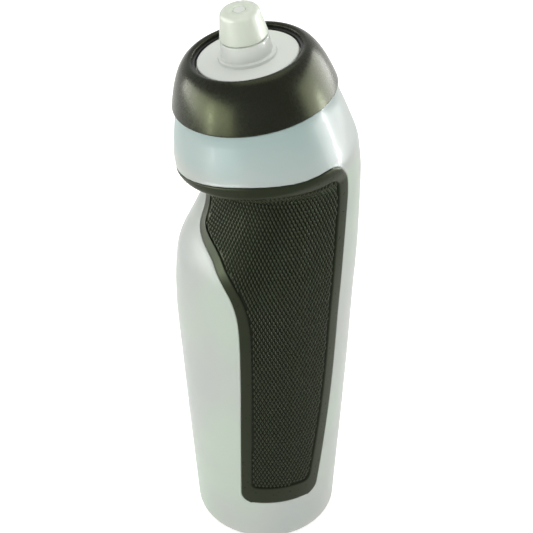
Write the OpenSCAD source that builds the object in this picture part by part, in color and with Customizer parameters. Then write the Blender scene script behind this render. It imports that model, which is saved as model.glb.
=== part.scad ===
// Sports squeeze bottle: a blow-moulded shell with two rubber grip pads, and a screw-on head
// with a push-pull nozzle on a tilted neck. The bottle stands on z = 0 about the Z axis.
// The finger notch faces -X and the pads are on the -Y and +Y sides. Lengths are in mm.

/* [Body] */
// Radius of the body at its base
base_r = 29.7; // [28:0.1:32]
// Radius of the rounding round the base
base_edge_r = 4.5; // [2:0.5:5.5]
// Inner radius of the ring that the bottle stands on
foot_r = 21; // [16:0.5:23]
// Height of the hollow under the base
push_up = 3; // [1:0.5:5]
// Radius of the body at the top of its taper
body_r = 36; // [35:0.1:38]
// Height of the top of the taper
taper_top = 118; // [110:1:124]
// Outward bow of the taper
taper_bow = 0.3; // [0:0.1:0.8]
// How far the back swells past the taper behind the notch
back_swell = 1.7; // [0:0.1:3]
// Height above the ledge's lip where the back starts to round over
back_turn = 8; // [6:0.5:10]
// Outward bow of the back from there to the shoulder
back_bow = 0.7; // [0:0.1:1.2]
// Wall of the shell
wall = 2; // [1.7:0.1:2.6]

/* [Finger notch] */
// Height at which the front starts to slope in
notch_start = 137; // [133:0.5:141]
// Height of the deepest line of the notch
notch_z = 173; // [170:0.5:175]
// How far the front has drawn in there
notch_ease = 1.2; // [0.6:0.1:2]
// Depth of the notch behind the taper's top radius
notch_depth = 16; // [12:0.5:17]
// Share of that depth that is reached halfway up the slope
slope_share = 0.53; // [0.46:0.01:0.58]
// Height and depth of the round root of the notch
root_h = 4; // [3:0.5:6]
root_depth = 1; // [0.6:0.1:1.6]
// Rise of the ledge from the deepest line to its lip
ledge_rise = 6; // [5:0.5:8]
// Roundness of the ledge's lip, in height and in depth
lip_round_h = 2.4; // [1.8:0.1:3]
lip_round_depth = 4; // [3:0.1:6]
// How far the lip lies behind the front of the band
lip_back = 0.6; // [0.3:0.1:1.2]
// Height from the top of the pads to the front of the band
band_rise = 2; // [1.5:0.1:3]
// Distance from the bottle's axis to the front of the shoulder band
band_front = 34.3; // [33.6:0.1:35]

/* [Grip pads] */
// Depth of the recess that each pad lies in
pad_depth = 0.9; // [0.6:0.1:1.1]
// How far a pad stands proud of the shell
pad_proud = 0.4; // [0.2:0.1:0.8]
// Gap round the edge of a pad and under it
pad_gap = 0.1; // [0.05:0.05:0.2]
// Gap between the two pads where they meet in front
pad_seam = 0.4; // [0.2:0.1:1]
// Height of the lower edge of the pads
pad_bottom = 23.8; // [18:0.1:40]
// Height of the upper edge of the pads, at the front
pad_top = 181.5; // [180.5:0.5:183]
// Radius of the lower corners of the pads
pad_corner_r = 5; // [3:0.5:8]
// Radius of the upper back corner of the pads
pad_top_corner_r = 6; // [4:0.5:8]
// Angle from the front to the front edge of the pads, at their bottom and at the top of the taper
panel_low_angle = 70; // [60:0.5:76]
panel_angle = 75; // [66:0.5:78]
// Angle from the front to the front edge of the pads, in the notch
tongue_angle = 14; // [10:1:20]
// Height at which the front panel ends in the notch, and the radius of its corners there
tongue_top = 165.2; // [162:0.1:169]
tongue_corner_r = 5; // [3:0.5:6]
// Angle from the front to the back edge of the pads, at their bottom and from the top of the taper on
pad_back_low_angle = 133; // [128:0.5:145]
pad_back_angle = 143.5; // [135:0.5:150]
// Height at which the front edge of the pads sweeps forward
flare_z = 148.4; // [144:0.1:152]
// Softness of that sweep below and above its middle, and the height over which one passes into the other
flare_below = 16; // [10:0.5:18]
flare_above = 7.8; // [5:0.1:9]
flare_blend = 12; // [8:1:16]
// How far the upper edge of the pads dips at the front, rises at the side and dips at the back
edge_front_dip = 3; // [0:0.1:3.6]
edge_side_rise = 1.5; // [0:0.1:2.5]
edge_back_dip = 0.9; // [0:0.1:2]
// Angles from the front at which that edge is highest, and at which it is down again
edge_high_angle = 77; // [65:1:90]
edge_back_angle = 124; // [110:1:140]

/* [Head] */
// Lean of the neck towards the front, in degrees
head_tilt = 8.8; // [6:0.1:12]
// How far the neck's foot lies in front of the body's axis
neck_x = 3; // [1:0.1:4]
// Height of the neck's foot, at the flat of the shoulder
neck_z = 207.3; // [206:0.1:210]
// How far the shoulder lies inside the collar's lower edge
shoulder_step = 0.6; // [0.2:0.1:1.2]
// How much wider the band is at the foot of that rim
shoulder_draft = 0.3; // [0:0.1:0.8]
// Height of the shoulder's solid rim
shoulder_h = 4; // [3.5:0.25:5]

/* [Neck and thread] */
// Outer radius of the neck, at the root of its thread
neck_r = 23.6; // [22.6:0.1:24]
// Wall of the neck
neck_wall = 2; // [1.5:0.1:2.5]
// Height of the neck above the shoulder
neck_h = 10.2; // [9.6:0.1:10.8]
// Rise of the thread in one turn
thread_pitch = 5; // [4.4:0.1:5.4]
// Height of the thread's profile
thread_h = 1.1; // [0.8:0.1:1.2]
// Width of the thread at its root and at its crest
thread_root = 1.9; // [1.6:0.1:2.1]
thread_crest = 1; // [0.7:0.1:1.2]
// Turns of thread on the neck and in the ring
thread_turns = 1.1; // [0.9:0.05:1.15]
// Turn between the starts of the two threads, in degrees
thread_lag = 40; // [30:1:50]
// Height of the middle of the neck's thread where it starts
thread_start = 3.2; // [3:0.1:3.4]

/* [Collar] */
// How far the collar's lower edge lies outside the neck
collar_over = 8; // [7.6:0.1:9]
// Height of the collar
collar_h = 17.6; // [17.2:0.1:18.6]
// How far outside the neck and how high the point lies that the collar's side curves towards
collar_shoulder_over = 4; // [3.6:0.1:5]
collar_shoulder_h = 16; // [14.6:0.1:16.4]
// How far the crest of the collar's rim lies inside the outer radius of the neck
crest_in = 1.3; // [0.6:0.1:1.7]
// Radius of the rounding of the rim
rim_round = 0.7; // [0.4:0.1:1]
// Thickness of the soft sleeve
sleeve_t = 1.5; // [1.2:0.1:1.7]
// How far the hole in the ring's lip lies inside the outer radius of the neck
lip_in = 3.7; // [3.2:0.1:4.2]
// Thickness of the ring's two skirts
skirt_t = 1.7; // [1.4:0.1:1.9]

/* [Deck and spout] */
// Thickness of the gasket
gasket_t = 1.2; // [0.8:0.1:1.4]
// Thickness of the deck's flange and of its disc
deck_t = 1.6; // [1.3:0.1:1.8]
// Rise of the deck's disc above its flange
deck_rise = 3.1; // [2.8:0.1:3.4]
// Depth and wall of the plug that enters the neck
plug_h = 3.2; // [2:0.1:5]
plug_wall = 1.5; // [1.2:0.1:1.8]
// Radius and height of the ring round the hub
boss_r = 10.9; // [10.4:0.1:12]
boss_h = 1.4; // [1:0.1:2]
// Radius of the hub at its foot and at its top
hub_foot_r = 9.7; // [9.4:0.1:10.2]
hub_top_r = 9.1; // [8.8:0.1:9.4]
// Height of the hub above the disc
hub_h = 7.6; // [6.8:0.1:8]
// Radius of the spout tower
tower_r = 5.4; // [5.2:0.1:5.6]
// Radius of the bore through the tower
tower_bore = 4; // [3.6:0.1:4.2]
// Radius and height of the rim that keeps the nozzle on
rim_r = 6.4; // [6.2:0.1:6.5]
rim_h = 2.4; // [2.2:0.1:2.8]
// Radius of the stopper pin
pin_r = 2.1; // [1.8:0.1:2.3]
// Thickness and height of the pin's spokes
spoke_t = 1.2; // [0.8:0.1:1.4]
spoke_h = 2; // [1.4:0.1:3]
// Radius of the seal's section
seal_r = 0.6; // [0.5:0.05:0.65]

/* [Nozzle] */
// Travel of the nozzle from closed to open
nozzle_travel = 4; // [3:0.5:5]
// Radius of the nozzle at its lower edge
nozzle_base_r = 9.2; // [8.6:0.1:9.4]
// Radius of the nozzle below its rounded top
nozzle_top_r = 7.6; // [7.6:0.1:8]
// Radius of the rounding round the top
nozzle_round = 2.8; // [2:0.1:3]
// Height of the bead inside the lower edge
bead_h = 1.5; // [1.2:0.1:1.8]
// Thickness of the top
nozzle_top_t = 2.8; // [2.6:0.1:3.6]
// Depth of the dish in the top
dish_h = 0.8; // [0.4:0.1:1.2]

/* [Clearances] */
// Gap between pieces that turn or slide on each other
run_gap = 0.3; // [0.25:0.05:0.4]
// Gap between the collar and the shoulder
seat_gap = 0.4; // [0.3:0.05:0.6]
// Radial gap between the two threads, and between their flanks
thread_gap = 0.4; // [0.3:0.05:0.5]
// Gap between the sleeve and the ring
bond_gap = 0.1; // [0.05:0.05:0.15]
// Gap round the deck's disc in the ring's lip
deck_gap = 0.7; // [0.4:0.1:0.9]
// Gap round the deck's flange in the ring
flange_gap = 0.8; // [0.4:0.1:1]
// Gap round the plug in the neck
plug_gap = 0.5; // [0.3:0.1:0.8]
// Gap between the tower and the nozzle
slide_gap = 0.4; // [0.35:0.05:0.5]
// Slack of the seal in its groove
seal_slack = 0.02; // [0.01:0.01:0.04]

/* [Hidden] */
$fn = 96;

// Rows and columns of the shell's surface
front_cells = 6;
pad_cells = 8;
back_cells = 3;
corner_cells = 4;
flare_cells = 8;
ledge_cells = 10;
band_cells = 4;
// Flat steps in a round stretch of a turned profile
arc_steps = 6;
curve_steps = 12;
thread_steps = 36;
// How far a solid is sunk into the one that it is joined to
sink = 0.5;
// How far the turned ends of the shell lap the edges of its wall
lap = 0.1;
// Step of the slope taken along the body
slope_step = 0.05;

// Heights on the body
base_joint = base_edge_r + 2 * wall;
notch_r = body_r - notch_depth;
lip_z = notch_z + ledge_rise;
turn_z = lip_z + back_turn;
taper_mid = [0.7 * taper_top, base_r + 0.7 * (body_r - base_r) + taper_bow];

// Heights in the neck's own frame, from the flat of the shoulder
gasket_z = neck_h + run_gap;
flange_z = gasket_z + gasket_t;
lip_bottom = flange_z + deck_t + run_gap;
lip_top = seat_gap + collar_h - sleeve_t - bond_gap;
disc_z = flange_z + deck_t + deck_rise;
hub_z = disc_z + hub_h;
nozzle_z = hub_z + run_gap;
bead_top = nozzle_z + bead_h;
rim_z = bead_top + nozzle_travel + run_gap;
rim_top = rim_z + rim_h;
ceiling_z = rim_top + 2 * run_gap;
nozzle_top = ceiling_z + nozzle_top_t;
pin_top = nozzle_top - dish_h;

// Radii in the neck's own frame
collar_r = neck_r + collar_over;
collar_shoulder_r = neck_r + collar_shoulder_over;
crest_r = neck_r - crest_in;
lip_r = neck_r - lip_in;
shoulder_r = collar_r - shoulder_step;
neck_bore = neck_r - neck_wall;
ring_bore = neck_r + thread_h + thread_gap;
flange_r = ring_bore - flange_gap;
plug_r = neck_bore - plug_gap;
disc_r = lip_r - deck_gap;
bead_r = tower_r + slide_gap;
nozzle_bore = rim_r + slide_gap;
outlet_r = pin_r + slide_gap;
seal_ring_r = rim_r - seal_r + slide_gap / 2;

// Ends of the shoulder's rim in the side view, as [x, z]
neck_axis = [-sin(head_tilt), cos(head_tilt)];
neck_out = [cos(head_tilt), sin(head_tilt)];
rim_centre = [-neck_x, neck_z] - shoulder_h * neck_axis;
band_r = shoulder_r + shoulder_draft;
seat_front = rim_centre - band_r * neck_out;
seat_back = rim_centre + band_r * neck_out;

// Distance of the front and of the back from the axis, as [height, distance]
front_profile = [
    [0, base_r],
    taper_mid,
    [taper_top, body_r],
    [notch_start, body_r - notch_ease],
    [(notch_start + notch_z) / 2, body_r - slope_share * notch_depth],
    [notch_z - root_h, notch_r + root_depth],
    [notch_z, notch_r],
    [lip_z - lip_round_h, band_front - lip_back - lip_round_depth],
    [lip_z, band_front - lip_back],
    [pad_top + band_rise, band_front],
    [seat_front[1], -seat_front[0]],
];
back_profile = [
    [0, base_r],
    taper_mid,
    [taper_top, body_r],
    [(taper_top + notch_z) / 2, body_r + 0.8 * back_swell],
    [notch_z, body_r + back_swell],
    [turn_z, body_r + 0.3 * back_swell],
    [(turn_z + seat_back[1]) / 2, (body_r + seat_back[0]) / 2 + back_bow],
    [seat_back[1], seat_back[0]],
];

// Smooth curve through a profile, with no overshoot between its points
function secant(p, i) = (p[i + 1][1] - p[i][1]) / (p[i + 1][0] - p[i][0]);
function inner_slope(p, i, a, b) =
    let (before = p[i][0] - p[i - 1][0], after = p[i + 1][0] - p[i][0])
    let (wa = 2 * after + before, wb = after + 2 * before)
    a * b <= 0 ? 0 : (wa + wb) / (wa / a + wb / b);
function slope(p, i) =
    i == 0 ? secant(p, 0) :
    i == len(p) - 1 ? secant(p, i - 1) :
    inner_slope(p, i, secant(p, i - 1), secant(p, i));
function span(p, z, i = 0) = i == len(p) - 2 || z < p[i + 1][0] ? i : span(p, z, i + 1);
function along(p, z) =
    let (i = span(p, z), h = p[i + 1][0] - p[i][0], t = (z - p[i][0]) / h, u = 1 - t)
    (1 + 2 * t) * u * u * p[i][1] + t * u * u * h * slope(p, i)
    + t * t * (3 - 2 * t) * p[i + 1][1] - t * t * u * h * slope(p, i + 1);

// Each ring of the body is a circle whose diameter runs from the front to the back in the side view.
// A ring is named by its height at the front, and gives [centre, half diameter towards the front].
function ease(t) = let (c = min(max(t, 0), 1)) c * c * (3 - 2 * c);
function lean(z) = tan(head_tilt * ease((z - taper_top) / (pad_top - taper_top)));
function back_at(z) = along(back_profile, min(z, seat_back[1]));
function ring_at(z) =
    let (f = along(front_profile, z), k = lean(z))
    let (b = back_at(z + (f + back_at(z + 2 * f * k)) * k))
    [[(b - f) / 2, z + (f + b) * k / 2], [-(f + b) / 2, -(f + b) * k / 2]];
function ring_point(ring, a) =
    let (c = ring[0], h = ring[1])
    [c[0] + h[0] * cos(a), -norm(h) * sin(a), c[1] + h[1] * cos(a)];
function unit(v) = v / norm(v);
// Rows near the upper edge of the pads rise and dip with it
wave_profile = [
    [0, -edge_front_dip], [edge_high_angle, edge_side_rise], [edge_back_angle, -edge_back_dip],
    [180, -edge_back_dip],
];
function wave_share(z) =
    ease((z - notch_z + root_h) / (pad_top - notch_z))
    * (1 - ease((z - pad_top) / (seat_front[1] - pad_top)));
function waved(z, a) = z + wave_share(z) * along(wave_profile, a > 180 ? 360 - a : a);
// Point of the body's surface at angle a from the front, moved out by off
function skin(row, a, off, flat = false) =
    let (z = waved(row, a), ring = ring_at(z), p = ring_point(ring, a))
    let (around = ring_point(ring, a + 1) - ring_point(ring, a - 1))
    let (above = ring_at(min(z + slope_step, seat_front[1])), below = ring_at(z - slope_step))
    let (up = ring_point(above, a) - ring_point(below, a))
    let (centre = [ring[0][0], 0, ring[0][1]])
    p + off * (flat ? unit(p - centre) : unit(cross(around, up)));

// Angles of the pads' edges at height z, drawn in by gap
function tanh(x) = 1 - 2 / (exp(2 * x) + 1);
function corner_inset(d, r) = d >= r ? 0 : r - sqrt(max(r * r - (r - d) * (r - d), 0));
function arc_angle(length, z) = length / norm(ring_at(z)[1]) * 180 / PI;
function flare(z) =
    let (d = z - flare_z, soft = flare_below + (flare_above - flare_below) * ease(0.5 + d / flare_blend))
    0.5 + 0.5 * tanh(d / soft);
function pad_share(z) = (z - pad_bottom) / (taper_top - pad_bottom);
function panel(z) = panel_low_angle + (panel_angle - panel_low_angle) * pad_share(z);
function back_line(z) =
    let (rest = max(1 - pad_share(z), 0))
    pad_back_angle + (pad_back_low_angle - pad_back_angle) * rest * rest;
function front_edge(z, gap) =
    panel(z) + (tongue_angle - panel(z)) * flare(z)
    + arc_angle(gap + corner_inset(max(z - pad_bottom, 0), pad_corner_r), z)
    - arc_angle(corner_inset(max(tongue_top - z, 0), tongue_corner_r), z);
function back_edge(z, gap) =
    let (low = corner_inset(max(z - pad_bottom, 0), pad_corner_r))
    let (high = z > pad_top ? 0 : corner_inset(pad_top - z, pad_top_corner_r))
    back_line(z) - arc_angle(gap + low + high, z);

// Columns of the surface: [class, share], where class 0 is the front panel, 1 the pad and 2 the back strip
half_columns = concat(
    [for (k = [0:front_cells]) [0, k / front_cells]],
    [for (k = [0:pad_cells]) [1, k / pad_cells]],
    [for (k = [0:back_cells]) [2, k / back_cells]]
);
half_count = len(half_columns);
loop_count = 2 * half_count - 2;
function column(j) = half_columns[j < half_count ? j : loop_count - j];
function column_angle(z, c, gap, seam) =
    let (f = front_edge(z, gap), b = back_edge(z, gap))
    c[0] == 0 ? seam + (f - seam) * c[1] :
    c[0] == 1 ? f + (b - f) * c[1] :
    b + (180 - b) * c[1];
function loop_angle(z, j) =
    let (a = column_angle(z, column(j), 0, 0))
    j < half_count ? a : 360 - a;

// Rows of the surface: [height, class], where class 1 crosses the pads and class 2 is the ledge, all pad
function steps(a, b, n) = [for (k = [0:n]) a + (b - a) * k / n];
function reversed(list) = [for (k = [len(list) - 1:-1:0]) list[k]];
function corner_rows(z, r) = [for (k = [0:corner_cells]) z + r * (1 - cos(90 * k / corner_cells))];
function pad_rows(gap) = concat(
    [for (z = corner_rows(pad_bottom, pad_corner_r)) [max(z, pad_bottom + gap), 1]],
    [for (z = steps(pad_bottom + (taper_top - pad_bottom) / 3, taper_top, 2)) [z, 1]],
    [for (z = steps(taper_top + flare_below / 2, tongue_top - 2 * tongue_corner_r, flare_cells)) [z, 1]],
    [for (d = reversed(corner_rows(0, tongue_corner_r))) [d > 0 ? tongue_top - d : tongue_top + gap, 1]]
);
function ledge_rows(gap) =
    [for (z = steps(tongue_top + gap, pad_top - gap, ledge_cells)) [z, 2]];
shell_rows = concat(
    [[base_joint, 0], [pad_bottom, 0]],
    pad_rows(0),
    ledge_rows(0),
    [for (z = steps(pad_top, seat_front[1], band_cells)) [z, 3]]
);
cavity_rows = [for (z = concat(
    steps(base_joint, taper_top, 4),
    steps(taper_top + flare_below / 2, tongue_top - wall, flare_cells),
    steps(tongue_top, pad_top, ledge_cells - 1),
    steps(pad_top + wall, seat_front[1], band_cells - 1)
)) z];
function in_pad(row, col) = row == 1 ? col == 1 : row == 2 && col < 2;

// Triangles of a grid of rows that close on themselves, without the empty ones
function apart(pts, t) =
    norm(pts[t[0]] - pts[t[1]]) > 1e-6 && norm(pts[t[1]] - pts[t[2]]) > 1e-6
    && norm(pts[t[2]] - pts[t[0]]) > 1e-6;
function quad(a, b, c, d) = [[a, b, c], [a, c, d]];
function tube_faces(first, rows, cols) = [
    for (i = [0:rows - 2], j = [0:cols - 1])
        let (a = first + i * cols, k = (j + 1) % cols)
        each quad(a + j, a + cols + j, a + cols + k, a + k)
];
function turned(faces) = [for (t = faces) [t[2], t[1], t[0]]];

module head() {
    translate([-neck_x, 0, neck_z]) rotate([0, -head_tilt, 0]) children();
}

// Wall of the body between the base and the shoulder, hollow and open at both ends
module body_wall() {
    outer = [for (r = shell_rows, j = [0:loop_count - 1])
        skin(r[0], loop_angle(r[0], j), in_pad(r[1], column(j)[0]) ? -pad_depth : 0)];
    last = len(cavity_rows) - 1;
    inner = [for (i = [0:last], j = [0:loop_count - 1])
        skin(cavity_rows[i], loop_angle(cavity_rows[i], j), -wall, i == 0 || i == last)];
    pts = concat(outer, inner);
    n = loop_count;
    top = (len(shell_rows) - 1) * n;
    low = len(outer);
    high = low + last * n;
    faces = concat(
        tube_faces(0, len(shell_rows), n),
        turned(tube_faces(low, last + 1, n)),
        [for (j = [0:n - 1]) let (k = (j + 1) % n) each quad(top + j, high + j, high + k, top + k)],
        [for (j = [0:n - 1]) let (k = (j + 1) % n) each quad(j, k, low + k, low + j)]
    );
    polyhedron(pts, [for (t = faces) if (apart(pts, t)) t], convexity = 8);
}

// Base with its rounded edge, standing ring and hollow underside
module base_cup() {
    outer = along(front_profile, base_joint) + lap;
    edge = along(front_profile, base_edge_r) + lap;
    inner = outer - wall - 3 * lap;
    floor_z = push_up + wall;
    rotate_extrude() polygon(concat(
        [[0, push_up], [foot_r - push_up, push_up], [foot_r, 0]],
        [for (k = [0:arc_steps]) let (a = 90 * k / arc_steps)
            [edge - base_edge_r + base_edge_r * sin(a), base_edge_r - base_edge_r * cos(a)]],
        [[outer, base_joint], [inner, base_joint], [inner - base_edge_r / 2, wall + base_edge_r / 4],
         [foot_r + wall / 2, wall], [foot_r - push_up, floor_z], [0, floor_z]]
    ));
}

// Shoulder rim and neck, in the neck's frame
module neck() {
    rim_in = band_r - wall - 3 * lap;
    rotate_extrude() polygon([
        [band_r + lap, -shoulder_h - lap], [shoulder_r, -rim_round], [shoulder_r - rim_round, 0], [neck_r, 0],
        [neck_r, neck_h - rim_round], [neck_r - rim_round, neck_h], [neck_bore, neck_h],
        [neck_bore, -neck_wall], [rim_in - neck_wall / 2, -neck_wall - seat_gap], [rim_in, -shoulder_h - lap]
    ]);
}

// Helical rib of a thread whose root lies at radius root and whose crest lies out by h
module thread_rib(root, h, z, start, turns) {
    count = ceil(thread_steps * turns);
    base = root - sign(h) * sink;
    foot = thread_root + (thread_root - thread_crest) * sink / thread_h;
    crest = root + h;
    profile = [[base, -foot / 2], [crest, -thread_crest / 2], [crest, thread_crest / 2], [base, foot / 2]];
    n = len(profile);
    pts = [for (i = [0:count], p = profile)
        let (a = start + 360 * turns * i / count)
        [p[0] * cos(a), p[0] * sin(a), z + thread_pitch * a / 360 + p[1]]];
    ends = [for (i = [1:n - 2]) [0, i, i + 1]];
    far = [for (t = ends) [count * n + t[2], count * n + t[1], count * n + t[0]]];
    faces = concat(tube_faces(0, count + 1, n), ends, far);
    polyhedron(pts, h > 0 ? turned(faces) : faces, convexity = 8);
}

module bottle_shell() {
    color("#d3dad4", 0.7) {
        body_wall();
        base_cup();
        head() {
            neck();
            thread_rib(neck_r, thread_h, thread_start, 0, thread_turns);
        }
    }
}

// Rubber pad of one side: side is 1 for -Y and -1 for +Y
module grip_pad(side) {
    rows = concat(pad_rows(pad_gap), [for (r = ledge_rows(pad_gap)) if (r[0] > tongue_top + pad_gap) r]);
    m = len(rows);
    n = half_count - back_cells - 1;
    seam = [for (r = rows) arc_angle(pad_seam / 2, r[0])];
    function place(i, j, off) =
        let (z = rows[i][0], p = skin(z, column_angle(z, half_columns[j], pad_gap, seam[i]), off))
        [p[0], side * p[1], p[2]];
    pts = concat(
        [for (i = [0:m - 1], j = [0:n - 1]) place(i, j, pad_proud)],
        [for (i = [0:m - 1], j = [0:n - 1]) place(i, j, pad_gap - pad_depth)]
    );
    first_ledge = len(pad_rows(pad_gap)) - 1;
    function filled(i, j) =
        i >= 0 && i < m - 1 && j >= 0 && j < n - 1 && (j >= front_cells || i >= first_ledge);
    s = m * n;
    faces = [for (i = [0:m - 2], j = [0:n - 2]) if (filled(i, j))
        let (a = i * n + j, b = a + 1, c = a + n + 1, d = a + n)
        each concat(
            quad(a, d, c, b),
            quad(a + s, b + s, c + s, d + s),
            filled(i - 1, j) ? [] : quad(a, b, b + s, a + s),
            filled(i + 1, j) ? [] : quad(d, d + s, c + s, c),
            filled(i, j - 1) ? [] : quad(a, a + s, d + s, d),
            filled(i, j + 1) ? [] : quad(b, c, c + s, b + s)
        )];
    real = [for (t = faces) if (apart(pts, t)) t];
    polyhedron(pts, side > 0 ? real : turned(real), convexity = 8);
}

module right_grip_pad() {
    color("#2b2d28") grip_pad(1);
}

module left_grip_pad() {
    color("#2b2d28") grip_pad(-1);
}

// Side of the collar drawn in by inset, from the lower edge to the crest
function collar_side(inset) = [for (k = [0:curve_steps])
    let (t = k / curve_steps, u = 1 - t)
    u * u * [collar_r - inset, seat_gap]
    + 2 * u * t * [collar_shoulder_r - 0.8 * inset, seat_gap + collar_shoulder_h - 0.8 * inset]
    + t * t * [crest_r, seat_gap + collar_h - inset]];

module collar_sleeve() {
    rim_z = seat_gap + collar_h - rim_round;
    inner_r = crest_r - 2 * rim_round;
    color("#32342e") head() rotate_extrude() polygon(concat(
        collar_side(0),
        [for (k = [1:arc_steps]) let (a = 90 * k / arc_steps)
            [crest_r - 2 * rim_round * sin(a), rim_z + rim_round * cos(a)]],
        [[inner_r, lip_top + bond_gap]],
        reversed(collar_side(sleeve_t))
    ));
}

module screw_ring() {
    outer = collar_side(sleeve_t + bond_gap);
    groove_r = outer[0][0] - skirt_t;
    groove_in = ring_bore + skirt_t;
    groove_top = lip_bottom - 3 * skirt_t - run_gap;
    drop = thread_gap + (thread_root + thread_crest) / 2;
    color("#3a3c38") head() {
        difference() {
            rotate_extrude() polygon(concat(
                outer,
                [[lip_r, lip_top], [lip_r, lip_bottom], [ring_bore, lip_bottom], [ring_bore, seat_gap]]
            ));
            rotate_extrude() polygon([
                [groove_in, seat_gap - sink], [groove_r, seat_gap - sink],
                [groove_in + 2 * run_gap, groove_top], [groove_in, groove_top]
            ]);
        }
        thread_rib(ring_bore, -thread_h, thread_start - drop, thread_lag, thread_turns);
    }
}

module spout_deck() {
    groove_z = rim_z + (rim_h - 2 * seal_r) / 2;
    groove_r = rim_r - 2 * seal_r + slide_gap / 2;
    under_z = disc_z - deck_t;
    plug_z = flange_z - plug_h;
    boss_z = disc_z + boss_h;
    tip = pin_r / 2;
    color("#dfe4de", 0.8) head() {
        difference() {
            rotate_extrude() polygon([
                [tower_bore, under_z], [disc_r - deck_t, under_z], [disc_r - deck_t, flange_z],
                [plug_r - plug_wall, flange_z], [plug_r - plug_wall, plug_z], [plug_r, plug_z],
                [plug_r, flange_z], [flange_r, flange_z], [flange_r, flange_z + deck_t],
                [disc_r, flange_z + deck_t], [disc_r, disc_z - rim_round], [disc_r - rim_round, disc_z],
                [boss_r, disc_z], [boss_r, boss_z - rim_round], [boss_r - rim_round, boss_z],
                [hub_foot_r, boss_z], [hub_top_r, hub_z], [tower_r, hub_z], [tower_r, rim_z],
                [rim_r, rim_z], [rim_r, rim_top - rim_round], [rim_r - rim_round, rim_top],
                [tower_bore, rim_top]
            ]);
            translate([0, 0, groove_z]) difference() {
                cylinder(r = rim_r + sink, h = 2 * seal_r);
                cylinder(r = groove_r, h = 2 * seal_r);
            }
        }
        rotate_extrude() polygon([
            [0, under_z], [pin_r, under_z], [pin_r, pin_top - tip], [pin_r - tip / 2, pin_top],
            [0, pin_top]
        ]);
        for (a = [0, 120, 240]) rotate([0, 0, a]) translate([pin_r - sink, -spoke_t / 2, under_z])
            cube([tower_bore - pin_r + 2 * sink, spoke_t, spoke_h]);
    }
}

module rim_gasket() {
    color("#c9ccc6") head() translate([0, 0, gasket_z]) difference() {
        cylinder(r = neck_r, h = gasket_t);
        translate([0, 0, -sink]) cylinder(r = neck_bore, h = gasket_t + 2 * sink);
    }
}

module nozzle_seal() {
    color("#55585a") head() translate([0, 0, rim_z + rim_h / 2]) rotate_extrude()
        translate([seal_ring_r, 0]) circle(r = seal_r - seal_slack);
}

module pull_nozzle() {
    shoulder_z = nozzle_top - nozzle_round;
    dish_r = nozzle_top_r - nozzle_round;
    color("#e6eae2", 0.8) head() rotate_extrude() polygon(concat(
        [[bead_r, nozzle_z], [nozzle_base_r - rim_round, nozzle_z], [nozzle_base_r, nozzle_z + rim_round]],
        [for (k = [0:arc_steps]) let (a = 90 * k / arc_steps)
            [dish_r + nozzle_round * cos(a), shoulder_z + nozzle_round * sin(a)]],
        [[outlet_r, nozzle_top - dish_h], [outlet_r, ceiling_z], [nozzle_bore, ceiling_z],
         [nozzle_bore, bead_top], [bead_r, bead_top]]
    ));
}

bottle_shell();
left_grip_pad();
right_grip_pad();
screw_ring();
collar_sleeve();
spout_deck();
rim_gasket();
nozzle_seal();
pull_nozzle();
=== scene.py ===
"""Sports squeeze bottle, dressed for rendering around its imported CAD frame.

The bottle stands on z = 0 about the Z axis. Its finger notch faces -X and its grip pads lie on the
-Y and +Y sides. The sizes held in the classes are millimetres; the meshes are in metres.
"""

import logging
import math
from dataclasses import dataclass, field
from enum import Enum
from typing import Any, Callable, Optional, Sequence

import bmesh
import bpy
import numpy as np
from mathutils import Matrix, Vector
from mathutils.kdtree import KDTree


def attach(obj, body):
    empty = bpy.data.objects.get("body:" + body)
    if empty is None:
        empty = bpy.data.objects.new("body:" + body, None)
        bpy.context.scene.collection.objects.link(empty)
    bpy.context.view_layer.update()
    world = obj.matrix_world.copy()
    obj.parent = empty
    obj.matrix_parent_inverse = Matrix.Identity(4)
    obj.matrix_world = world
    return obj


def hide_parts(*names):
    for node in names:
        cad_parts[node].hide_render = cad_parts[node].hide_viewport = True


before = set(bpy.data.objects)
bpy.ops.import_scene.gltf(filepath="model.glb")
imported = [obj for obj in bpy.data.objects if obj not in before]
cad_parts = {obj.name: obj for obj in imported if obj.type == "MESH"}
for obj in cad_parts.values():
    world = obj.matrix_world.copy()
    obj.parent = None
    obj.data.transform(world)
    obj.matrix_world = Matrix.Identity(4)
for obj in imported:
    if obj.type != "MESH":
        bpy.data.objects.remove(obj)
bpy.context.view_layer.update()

MM = 0.001
WELD_M = 1e-7
SHARP_DEG = 38.0
# Share of an edge that one rounding may take up, so that two roundings never meet.
ROUNDING_SHARE = 0.49
ROUNDING_STEPS = 6
ACROSS = np.array([0.0, 1.0, 0.0])
LOG = logging.getLogger("squeeze_bottle")
Array = np.ndarray
Faces = list[tuple[int, ...]]
Span = tuple[float, float]
Outline = list[Span]
Triple = tuple[float, float, float]
Piece = bpy.types.Object
Material = bpy.types.Material
Socket = bpy.types.NodeSocket
Tree = bpy.types.NodeTree


def linear(code: str) -> tuple[float, float, float, float]:
    """Turn an sRGB hex colour into linear light.

    Args:
        code: Colour as "#rrggbb".

    Returns:
        Red, green and blue in linear light, and an alpha of 1.
    """
    parts = [int(code[i:i + 2], 16) / 255 for i in (1, 3, 5)]
    red, green, blue = [c / 12.92 if c <= 0.04045 else ((c + 0.055) / 1.055) ** 2.4 for c in parts]
    return red, green, blue, 1.0


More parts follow.
